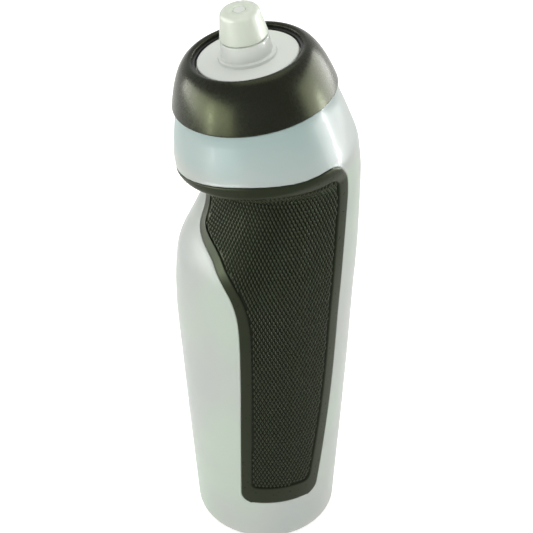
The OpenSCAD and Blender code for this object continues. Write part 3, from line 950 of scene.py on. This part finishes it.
@dataclass
class GripPad:
    """Rubber pad: a smooth border round a sunk field of fine raised lozenges."""

    form: BottleForm
    side: PadSide
    gap: float = 0.1
    seam: float = 0.4
    depth: float = 0.8
    proud: float = 0.3
    edge_round: float = 0.7
    edge_drop: float = 0.35
    border_front: float = 4.6
    border_back: float = 5.6
    border_bottom: float = 9.2
    field_top: float = 176.6
    field_corner_r: float = 3.0
    field_sink: float = 0.65
    field_edge: float = 0.3
    bump_pitch: float = 1.58
    bump_row: float = 1.69
    bump_w: float = 1.4
    bump_l: float = 2.8
    bump_h: float = 0.62
    bump_root: float = 0.06
    bump_sides: int = 8
    bump_power: float = 1.2
    crown_share: float = 0.45
    crown_rise: float = 0.85
    bump_margin: float = 0.85
    half_columns: int = 40
    spare_rows: int = 3
    border_relief: float = 0.5
    lattice_x: float = 9.0
    lattice_slope: float = 0.07
    fine_share: float = 0.92
    fine_from: float = 122.0
    fine_to: float = 150.0
    edge_trace: int = 1500
    run_trace: int = 1600
    near_edge: tuple[float, ...] = (0.0, 0.08, 0.2, 0.4, 0.7, 1.1)
    near_step: tuple[float, ...] = (-0.5, -0.25, 0.0, 0.25, 0.5)

    def __post_init__(self) -> None:
        """Measure the front border along the rows, so that it looks even where the edge slants."""
        f = self.form
        self.levels = np.arange(f.pad_bottom, self.field_top + 2, 0.5)
        fine = np.linspace(self.levels[0], self.levels[-1], self.edge_trace)
        edge = point_tree(f.points(fine, f.front_edge(fine)))
        across = np.linspace(0.2, 4 * self.border_front, 60)
        self.widths = np.empty_like(self.levels)
        for i, z in enumerate(self.levels):
            level = np.full_like(across, z)
            spots = f.points(level, f.front_edge(level) + f.degrees(across, level))
            self.widths[i] = np.interp(self.border_front, [edge.find(spot)[2] for spot in spots], across)

    def front_border(self, z: Array) -> Array:
        """Width of the front border round the body at heights."""
        return np.interp(z, self.levels, self.widths)

    def field_depth(self, z: Array, angle: Array) -> Array:
        """Measure how deep points lie inside the knurled field's rounded outline.

        Args:
            z: Heights at the front.
            angle: Angles in degrees from the front.

        Returns:
            Distances from the outline, negative outside it.
        """
        f, r = self.form, self.field_corner_r
        per = np.radians(1.0) * f.radius(z)
        across = np.minimum((angle - f.front_edge(z)) * per - self.front_border(z),
                            (f.back_edge(z) - angle) * per - self.border_back)
        along = np.minimum(z - f.pad_bottom - self.border_bottom, self.field_top - z)
        return r - np.hypot(np.maximum(r - across, 0), np.maximum(r - along, 0))

    def heights(self) -> tuple[Array, int]:
        """Lay out the rows.

        Returns:
            Heights of the rows and the number of the first row of the ledge.
        """
        f, near, step = self.form, np.array(self.near_edge), np.array(self.near_step)
        low, field_low = f.pad_bottom + self.gap, f.pad_bottom + self.border_bottom
        main = np.concatenate([
            low + near, np.arange(low + 1.6, field_low - 0.7, 0.7), field_low + step,
            np.arange(field_low + 1, field_low + 5, 0.5), np.arange(field_low + 6, f.taper_top, 3.0),
            np.arange(f.taper_top, f.tongue_top - 5.1, 1.0),
            np.linspace(f.tongue_top - 5, f.tongue_top - 0.3, 14)])
        edge, top = f.tongue_top + self.gap, f.pad_top - self.gap
        ledge = np.concatenate([
            edge + near, np.arange(edge + 1.6, self.field_top - 4.2, 0.7),
            np.arange(self.field_top - 4, self.field_top - 0.7, 0.5), self.field_top + step,
            np.linspace(self.field_top + 1, top - 1.5, 6), top - near[::-1]])
        return np.concatenate([main, ledge]), len(main)

    def angles(self, z: float) -> tuple[Array, int]:
        """Lay out the columns of a row.

        Args:
            z: Height of the row at the front.

        Returns:
            Angles in degrees, and the number of the column on the front edge.
        """
        f, near, step = self.form, np.array(self.near_edge), np.array(self.near_step)
        k, wide = f.degrees_per_mm(z), at(self.front_border, z)
        start, end = at(f.front_edge, z) + k * self.gap, at(f.back_edge, z) - k * self.gap
        front = np.linspace(self.seam / 2 * k, start, 17)[:-1]
        pad = np.concatenate([
            start + k * near, start + k * np.linspace(1.6, wide - 1.0, 4), start + k * (wide + step),
            np.linspace(start + k * (wide + 1.2), end - k * (self.border_back + 1.2), 40),
            end - k * (self.border_back + step[::-1]), end - k * np.linspace(self.border_back - 1.0, 1.6, 4),
            end - k * near[::-1]])
        return np.concatenate([front, pad]), len(front)

    def sheet(self) -> tuple[Array, Faces, Array]:
        """Make the closed pad without its lozenges.

        Returns:
            Points, faces, and how raised each point is from 0 to 1.
        """
        f = self.form
        heights, ledge = self.heights()
        laid = [self.angles(z) for z in heights]
        angle, first = np.array([a for a, _ in laid]), laid[0][1]
        rows, columns = angle.shape
        z = np.repeat(heights[:, None], columns, axis=1)
        place = f.points(z, angle)
        rim = np.clip(f.edge_distance(place) - self.gap, 0, self.edge_round) / self.edge_round
        drop = self.edge_drop * (1 - np.sqrt(1 - (1 - rim) ** 2))
        sunk = smooth_step(-self.field_edge, self.field_edge, self.field_depth(z, angle))
        top = f.skin(z, angle, self.proud - drop - self.field_sink * sunk)
        under = f.skin(z, angle, np.full_like(z, -self.depth))
        size = rows * columns
        filled = np.zeros((rows + 1, columns + 1), bool)
        filled[1:rows, 1 + first:columns] = True
        filled[1 + ledge:rows, 1:columns] = True
        faces: Faces = []
        for i in range(rows - 1):
            for j in range(columns - 1):
                if not filled[i + 1, j + 1]:
                    continue
                a = i * columns + j
                b, c, d = a + 1, a + columns + 1, a + columns
                faces += [(a, d, c, b), (a + size, b + size, c + size, d + size)]
                for shut, p, q in ((filled[i, j + 1], a, b), (filled[i + 2, j + 1], c, d),
                                   (filled[i + 1, j], d, a), (filled[i + 1, j + 2], b, c)):
                    if not shut:
                        faces.append((p, q, q + size, p + size))
        points = np.concatenate([top.reshape(-1, 3), under.reshape(-1, 3)])
        # The field's floor gets 0, which paints it darkest, as painted shade.
        raised = np.concatenate([self.border_relief * (1 - sunk.ravel()), np.zeros(size)])
        used = np.unique(np.concatenate([np.array(face) for face in faces]))
        number = np.full(len(points), -1)
        number[used] = np.arange(len(used))
        return points[used], [tuple(number[list(face)]) for face in faces], raised[used]

    def lattice(self) -> tuple[Array, Array]:
        """Lay out the lozenges in staggered rows inside the field.

        Returns:
            Heights and angles of their middles.
        """
        f = self.form
        fine = np.linspace(f.pad_bottom, self.field_top, self.run_trace)
        centre, half = f.rings(fine)
        middle = np.degrees(np.arccos((self.lattice_x - centre[:, 0]) / half[:, 0]))
        # The pattern is a little finer in the notch than on the body.
        scale = 1 - (1 - self.fine_share) * smooth_step(self.fine_from, self.fine_to, fine)
        length = np.linalg.norm(np.diff(f.points(fine, middle), axis=0), axis=1) / scale[1:]
        run = np.concatenate([[0.0], np.cumsum(length)])
        spare, reach = self.spare_rows * self.bump_row, self.half_columns
        heights, angles = [], []
        for i, start in enumerate(np.arange(-spare, run[-1] + spare, self.bump_row)):
            across = (np.arange(-reach, reach + 1) + 0.5 * (i % 2)) * self.bump_pitch
            along = start - self.lattice_slope * across
            level = np.interp(along, run, fine)
            angle = np.interp(level, fine, middle) + f.degrees(across * np.interp(level, fine, scale), level)
            kept = (along > 0) & (along < run[-1]) & (self.field_depth(level, angle) > self.bump_margin)
            heights.append(level[kept])
            angles.append(angle[kept])
        return np.concatenate(heights), np.concatenate(angles)

    def lozenges(self, first: int) -> tuple[Array, Faces, Array]:
        """Make the raised lozenges.

        Args:
            first: Number that their first vertex takes.

        Returns:
            Points, faces, and how raised each point is from 0 to 1.
        """
        z, angle = self.lattice()
        place, around, normal = self.form.frames(z, angle)
        up = np.cross(normal, around)
        sides, power = self.bump_sides, self.bump_power
        turn = np.linspace(0, 2 * math.pi, sides, endpoint=False)
        # A rounded lozenge: between a diamond, at a power of 1, and an ellipse, at 2.
        lean = 1 / (np.abs(np.cos(turn)) ** power + np.abs(np.sin(turn)) ** power) ** (1 / power)
        ring = np.stack([lean * np.cos(turn) * self.bump_w / 2, lean * np.sin(turn) * self.bump_l / 2], -1)
        shape = np.concatenate([
            np.c_[ring, np.full(sides, -self.bump_root)],
            np.c_[ring * self.crown_share, np.full(sides, self.crown_rise * self.bump_h)],
            [[0.0, 0.0, self.bump_h]]])
        floor = self.proud - self.field_sink
        spots = (place[:, None] + around[:, None] * shape[None, :, :1] + up[:, None] * shape[None, :, 1:2]
                 + normal[:, None] * (shape[None, :, 2:] + floor))
        each = loop_faces(2, sides) + [(sides + k, sides + (k + 1) % sides, 2 * sides) for k in range(sides)]
        starts = [first + n * len(shape) for n in range(len(z))]
        faces = [tuple(start + v for v in face) for start in starts for face in each]
        faces += [tuple(reversed(range(start, start + sides))) for start in starts]
        raised = np.tile(np.clip(shape[:, 2] / self.bump_h, 0, 1), len(z))
        return spots.reshape(-1, 3), faces, raised

    def build(self, finish: OpaquePolymer) -> None:
        """Build and dress the pad.

        Args:
            finish: Its rubber.
        """
        points, faces, raised = self.sheet()
        bumps, bump_faces, bump_raised = self.lozenges(len(points))
        points = np.concatenate([points, bumps]) * np.array([1.0, self.side.value, 1.0])
        side = self.side.name.lower()
        piece = make_object(f"{side}_pad_knurled", points, faces + bump_faces, sharp=60.0)
        # This relief picks the pad's tint: painted shade in the valleys, painted highlight on the tops.
        relief = piece.data.attributes.new("relief", "FLOAT", "POINT")
        relief.data.foreach_set("value", np.concatenate([raised, bump_raised]).astype(np.float32))
        fit_piece(piece, Body.BOTTLE, f"{side}_grip_pad", finish.material())


@dataclass
class ScrewCollar:
    """Soft sleeve of the screw collar, over the rigid ring that carries the thread."""

    form: BottleForm
    base_r: float = 31.6
    seat_gap: float = 0.4
    height: float = 17.6
    shoulder_r: float = 27.6
    shoulder_h: float = 16.0
    crest_r: float = 22.3
    rim_round: float = 0.7
    sleeve_t: float = 1.5
    lip_top: float = 16.5
    lower_round: float = 0.5
    turn_share: float = 0.8
    side_steps: int = 40

    def side(self, inset: float) -> Outline:
        """Draw the bowed side of the collar.

        Args:
            inset: How far it is drawn in.

        Returns:
            Radii and heights from the lower edge to the crest.
        """
        turn = self.turn_share * inset
        ends = ((self.base_r - inset, self.seat_gap),
                (self.shoulder_r - turn, self.seat_gap + self.shoulder_h - turn),
                (self.crest_r, self.seat_gap + self.height - inset))
        return [tuple((1 - t) ** 2 * a + 2 * t * (1 - t) * b + t * t * c for a, b, c in zip(*ends))
                for t in np.linspace(0, 1, self.side_steps + 1)]

    def build(self, sleeve: OpaquePolymer, ring: OpaquePolymer) -> None:
        """Build the sleeve, and dress it and the ring.

        Args:
            sleeve: Rubber of the sleeve.
            ring: Plastic of the ring.
        """
        rim_z, inner_r = self.seat_gap + self.height - self.rim_round, self.crest_r - 2 * self.rim_round
        rim = [(self.crest_r - 2 * self.rim_round * math.sin(a), rim_z + self.rim_round * math.cos(a))
               for a in np.linspace(0.1, math.pi / 2, 12)]
        outer = self.side(0.0)
        edge = filleted([(self.base_r - self.sleeve_t, self.seat_gap, 0.3), (*outer[0], self.lower_round),
                         (*outer[1], 0)])
        outline = edge[:-1] + outer[1:] + rim + [(inner_r, self.lip_top)] + self.side(self.sleeve_t)[:0:-1]
        piece = self.form.turned("collar_soft_sleeve", [outline])
        fit_piece(piece, Body.COLLAR, "collar_sleeve", sleeve.material())
        dress_node("screw_ring", ring.material())


@dataclass
class SpoutDeck:
    """Deck inside the collar, with its plug, stepped hub, spout tower and stopper pin."""

    form: BottleForm
    disc_z: float = 16.4
    disc_r: float = 19.2
    deck_t: float = 1.6
    flange_z: float = 11.7
    flange_r: float = 24.3
    plug_r: float = 21.1
    plug_wall: float = 1.5
    plug_h: float = 3.2
    boss_r: float = 10.9
    boss_h: float = 1.4
    boss_draft: float = 0.2
    hub_foot_r: float = 9.7
    hub_top_r: float = 9.1
    hub_z: float = 24.0
    tower_r: float = 5.4
    tower_bore: float = 4.0
    rim_r: float = 6.4
    rim_z: float = 30.1
    rim_h: float = 2.4
    groove_r: float = 5.4
    seal_r: float = 0.6
    pin_r: float = 2.1
    pin_top: float = 35.08
    head_r: float = 2.36
    head_h: float = 2.1
    head_taper: float = 0.3
    spoke_t: float = 1.2
    spoke_h: float = 2.0
    spoke_sink: float = 0.4
    spoke_round: float = 0.15
    spoke_crease: float = 0.5

    def deck_outline(self) -> Outline:
        """Draw the section of the deck.

        Returns:
            Radii and heights from the bore out to the flange and back up the tower.
        """
        under, top = self.disc_z - self.deck_t, self.rim_z + self.rim_h
        low, high = self.rim_z + self.rim_h / 2 - self.seal_r, self.rim_z + self.rim_h / 2 + self.seal_r
        skirt, plug_in = self.disc_r - self.deck_t, self.plug_r - self.plug_wall
        plug_low = self.flange_z - self.plug_h
        flange, flange_top, boss_z = self.flange_z, self.flange_z + self.deck_t, self.disc_z + self.boss_h
        return filleted([
            (self.tower_bore, under, 0), (skirt, under, 0), (skirt, flange, 0), (plug_in, flange, 0),
            (plug_in, plug_low, 0.4), (self.plug_r, plug_low, 0.4), (self.plug_r, flange, 0),
            (self.flange_r, flange, 0.2), (self.flange_r, flange_top, 0.2),
            (self.disc_r, flange_top, 0.2), (self.disc_r, self.disc_z, 0.7),
            (self.boss_r + self.boss_draft, self.disc_z, 0.4), (self.boss_r, boss_z, 0.6),
            (self.hub_foot_r, boss_z, 0.4), (self.hub_top_r, self.hub_z, 0.6),
            (self.tower_r, self.hub_z, 0.3), (self.tower_r, self.rim_z, 0), (self.rim_r, self.rim_z, 0.2),
            (self.rim_r, low, 0.1), (self.groove_r, low, 0), (self.groove_r, high, 0),
            (self.rim_r, high, 0.1), (self.rim_r, top, 0.7), (self.tower_bore, top, 0.3)])

    def pin_outline(self) -> Outline:
        """Section of the stopper pin."""
        under, neck = self.disc_z - self.deck_t, self.pin_top - self.head_h
        return filleted([
            (0.0, under, 0), (self.pin_r, under, 0.3), (self.pin_r, neck - self.head_taper, 0.3),
            (self.head_r, neck, 0.2), (self.head_r, self.pin_top, 0.3), (0.0, self.pin_top, 0)])

    def add_spokes(self, piece: Piece) -> None:
        """Join the three spokes between the pin and the tower to the piece.

        Args:
            piece: Object of the deck.
        """
        form, low = self.form, self.disc_z - self.deck_t
        work = bmesh.new()
        work.from_mesh(piece.data)
        for turn in np.radians((0.0, 120.0, 240.0)):
            out = math.cos(turn) * form.out + math.sin(turn) * ACROSS
            side = np.cross(form.axis, out)
            corners = [form.neck_foot + form.axis * (low + h) + out * r + side * s
                       for h in (0.0, self.spoke_h)
                       for r in (self.pin_r - self.spoke_sink, self.tower_bore + self.spoke_sink)
                       for s in (-self.spoke_t / 2, self.spoke_t / 2)]
            hull = bmesh.ops.convex_hull(work, input=[work.verts.new(c * MM) for c in corners])
            edges = [e for e in hull["geom"]
                     if isinstance(e, bmesh.types.BMEdge) and e.calc_face_angle(0) > self.spoke_crease]
            bmesh.ops.bevel(
                work, geom=edges, offset=self.spoke_round * MM, segments=2, affect="EDGES", profile=0.5)
        work.to_mesh(piece.data)
        work.free()

    def build(self, deck: TranslucentPlastic, silicone: OpaquePolymer) -> None:
        """Build the deck, and dress it and its two seals.

        Args:
            deck: Plastic of the deck.
            silicone: Finish of the gasket and of the seal.
        """
        piece = self.form.turned("deck_with_spout", [self.deck_outline(), self.pin_outline()])
        self.add_spokes(piece)
        fit_piece(piece, Body.DECK, "spout_deck", deck.material())
        seal = silicone.material()
        dress_node("rim_gasket", seal)
        dress_node("nozzle_seal", seal)


@dataclass
class PullNozzle:
    """Push-pull mouthpiece that slides on the spout tower."""

    form: BottleForm
    bottom: float = 24.3
    top: float = 35.88
    base_r: float = 9.2
    top_r: float = 7.6
    top_round: float = 2.8
    bead_r: float = 5.8
    bead_top: float = 25.8
    bore_r: float = 6.8
    ceiling: float = 33.1
    outlet_r: float = 2.5
    dish_h: float = 0.8

    def build(self, finish: TranslucentPlastic) -> None:
        """Build and dress the nozzle.

        Args:
            finish: Its plastic.
        """
        turn = self.top_round
        crown = [(self.top_r - turn * (1 - math.cos(a)), self.top - turn * (1 - math.sin(a)))
                 for a in np.linspace(0, math.pi / 2, 14)]
        lower = filleted([(self.bead_r, self.bottom, 0.3), (self.base_r, self.bottom, 0.7), (*crown[0], 0)])
        inner = filleted([
            (*crown[-1], 0), (self.outlet_r, self.top - self.dish_h, 0.4), (self.outlet_r, self.ceiling, 0),
            (self.bore_r, self.ceiling, 0.4), (self.bore_r, self.bead_top, 0),
            (self.bead_r, self.bead_top, 0.3), (self.bead_r, self.bottom + 0.5, 0)])
        piece = self.form.turned("nozzle_mouthpiece", [lower[:-1] + crown + inner[1:-1]])
        fit_piece(piece, Body.NOZZLE, "pull_nozzle", finish.material())


class Reach(Enum):
    """What a light acts on: everything, only the gloss, or only the matt surfaces."""

    ALL = "all"
    GLOSS = "gloss"
    MATT = "matt"


@dataclass(frozen=True)
class Softbox:
    """Rectangular studio light: where it stands, what it aims at, and how bright its face is."""

    name: str
    place: Triple
    aim: Triple
    width: float
    height: float
    glow: float
    reach: Reach = Reach.ALL

    def build(self) -> None:
        """Hang the light."""
        lamp = bpy.data.lights.new(self.name, "AREA")
        lamp.shape, lamp.size, lamp.size_y = "RECTANGLE", self.width, self.height
        # Watts that give the face its radiance, for a lamp that shines from one side.
        lamp.energy = self.glow * math.pi * self.width * self.height
        rig = bpy.data.objects.new(self.name, lamp)
        rig.visible_glossy = self.reach is not Reach.MATT
        rig.visible_diffuse = rig.visible_transmission = self.reach is not Reach.GLOSS
        rig.location = self.place
        rig.rotation_euler = (Vector(self.aim) - Vector(self.place)).to_track_quat("-Z", "Y").to_euler()
        bpy.context.scene.collection.objects.link(rig)


@dataclass
class Studio:
    """Camera, pale floor, white surround and soft lights."""

    camera_mm: Triple = (0.006, -508.037, 501.138)
    azimuth: float = 0.1028
    elevation: float = 36.3966
    roll: float = -0.3973
    lens_mm: float = 105.344
    sensor_mm: float = 36.0
    floor_half: float = 4.0
    fill: float = 0.5
    floor_glow: float = 0.6
    clip_m: Span = (0.01, 50.0)
    paper: str = "#f4f4f2"
    white: str = "#ffffff"
    lights: tuple[Softbox, ...] = (
        Softbox("softbox_left", (-0.72, -0.38, 0.20), (0.0, 0.0, 0.20), 1.2, 0.36, 1.3),
        Softbox("softbox_right", (0.72, 0.18, 0.24), (0.0, 0.0, 0.20), 1.0, 0.46, 0.7),
        Softbox("softbox_top", (0.0, 0.2, 1.3), (0.0, 0.0, 0.2), 0.9, 0.9, 2.5),
        Softbox("softbox_front", (0.0, -0.9, 0.12), (0.0, 0.0, 0.0), 1.6, 0.22, 2.3, Reach.MATT),
        Softbox("card_left", (-0.80, -0.20, 0.20), (0.0, 0.0, 0.20), 1.6, 0.36, 11.0, Reach.GLOSS),
        Softbox("card_right", (0.80, 0.22, 0.32), (0.0, 0.0, 0.20), 1.2, 0.6, 8.5, Reach.GLOSS),
        Softbox("strip_left", (-0.62, -0.33, 0.10), (0.0, 0.0, 0.18), 0.05, 0.3, 40.0, Reach.GLOSS),
        Softbox("strip_right", (0.66, 0.06, 0.10), (0.0, 0.0, 0.18), 0.05, 0.3, 75.0, Reach.GLOSS),
    )

    def place_camera(self) -> None:
        """Set the camera at the photograph's viewing angle."""
        az, el, roll = (math.radians(v) for v in (self.azimuth, self.elevation, self.roll))
        ahead = Vector((math.sin(az) * math.cos(el), math.cos(az) * math.cos(el), -math.sin(el)))
        right = ahead.cross(Vector((0, 0, 1))).normalized()
        up = right.cross(ahead)
        right, up = right * math.cos(roll) + up * math.sin(roll), up * math.cos(roll) - right * math.sin(roll)
        data = bpy.data.cameras.new("camera")
        data.lens, data.sensor_width, data.sensor_fit = self.lens_mm, self.sensor_mm, "HORIZONTAL"
        data.clip_start, data.clip_end = self.clip_m
        camera = bpy.data.objects.new("camera", data)
        turn = Matrix((right, up, -ahead)).transposed().to_4x4()
        camera.matrix_world = Matrix.Translation(Vector(self.camera_mm) * MM) @ turn
        bpy.context.scene.collection.objects.link(camera)
        bpy.context.scene.camera = camera

    @staticmethod
    def seen_white(tree: Tree) -> Socket:
        """Find the rays that should meet plain white.

        Args:
            tree: Node tree of the floor or of the world.

        Returns:
            A socket that is 1 for camera, glossy and transmission rays.
        """
        path = add_node(tree, "ShaderNodeLightPath").outputs
        some = math_node(tree, "MAXIMUM", path["Is Camera Ray"], path["Is Glossy Ray"])
        return math_node(tree, "MAXIMUM", some, path["Is Transmission Ray"])

    def build_floor(self) -> None:
        """Lay the floor, which looks white and keeps part of the object's shadow."""
        s = self.floor_half / MM
        corners = np.array([[-s, -s, 0], [s, -s, 0], [s, s, 0], [-s, s, 0]], float)
        floor = make_object("floor", corners, [(0, 1, 2, 3)])
        material, tree = new_material("paper_white_matt")
        paper = add_node(tree, "ShaderNodeBsdfDiffuse", inputs={"Color": linear(self.paper)})
        glow = add_node(tree, "ShaderNodeEmission", inputs={
            "Color": linear(self.white),
            "Strength": math_node(tree, "MULTIPLY", self.seen_white(tree), self.floor_glow)})
        mixed = add_node(tree, "ShaderNodeAddShader", inputs={
            0: paper.outputs["BSDF"], 1: glow.outputs["Emission"]})
        add_node(tree, "ShaderNodeOutputMaterial", inputs={"Surface": mixed.outputs["Shader"]})
        floor.data.materials.append(material)

    def build_world(self) -> None:
        """Surround the bottle with white, and with a plain fill light."""
        world = bpy.data.worlds.new("white_surround")
        bpy.context.scene.world = world
        world.use_nodes = True
        tree = world.node_tree
        tree.nodes.clear()
        level = add_node(tree, "ShaderNodeMapRange", inputs={
            "Value": self.seen_white(tree), "To Min": self.fill, "To Max": 1.0})
        sky = add_node(tree, "ShaderNodeBackground", inputs={
            "Color": linear(self.white), "Strength": level.outputs["Result"]})
        add_node(tree, "ShaderNodeOutputWorld", inputs={"Surface": sky.outputs["Background"]})

    def build(self) -> None:
        """Set up the whole studio."""
        self.place_camera()
        self.build_world()
        self.build_floor()
        for light in self.lights:
            light.build()
        bpy.context.scene.view_settings.view_transform = "Standard"


def write_sizes() -> None:
    """Bring the scene's view layer up to date."""
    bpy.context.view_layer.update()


def main() -> None:
    """Build the bottle and its studio."""
    logging.basicConfig(level=logging.INFO, format="%(name)s: %(message)s")
    finishes, form = Finishes(), BottleForm()
    Studio().build()
    BottleShell(form).build(finishes.shell)
    for side in PadSide:
        GripPad(form, side).build(finishes.pad)
    ScrewCollar(form).build(finishes.sleeve, finishes.ring)
    SpoutDeck(form).build(finishes.deck, finishes.silicone)
    PullNozzle(form).build(finishes.nozzle)
    write_sizes()


if __name__ == "__main__":
    main()
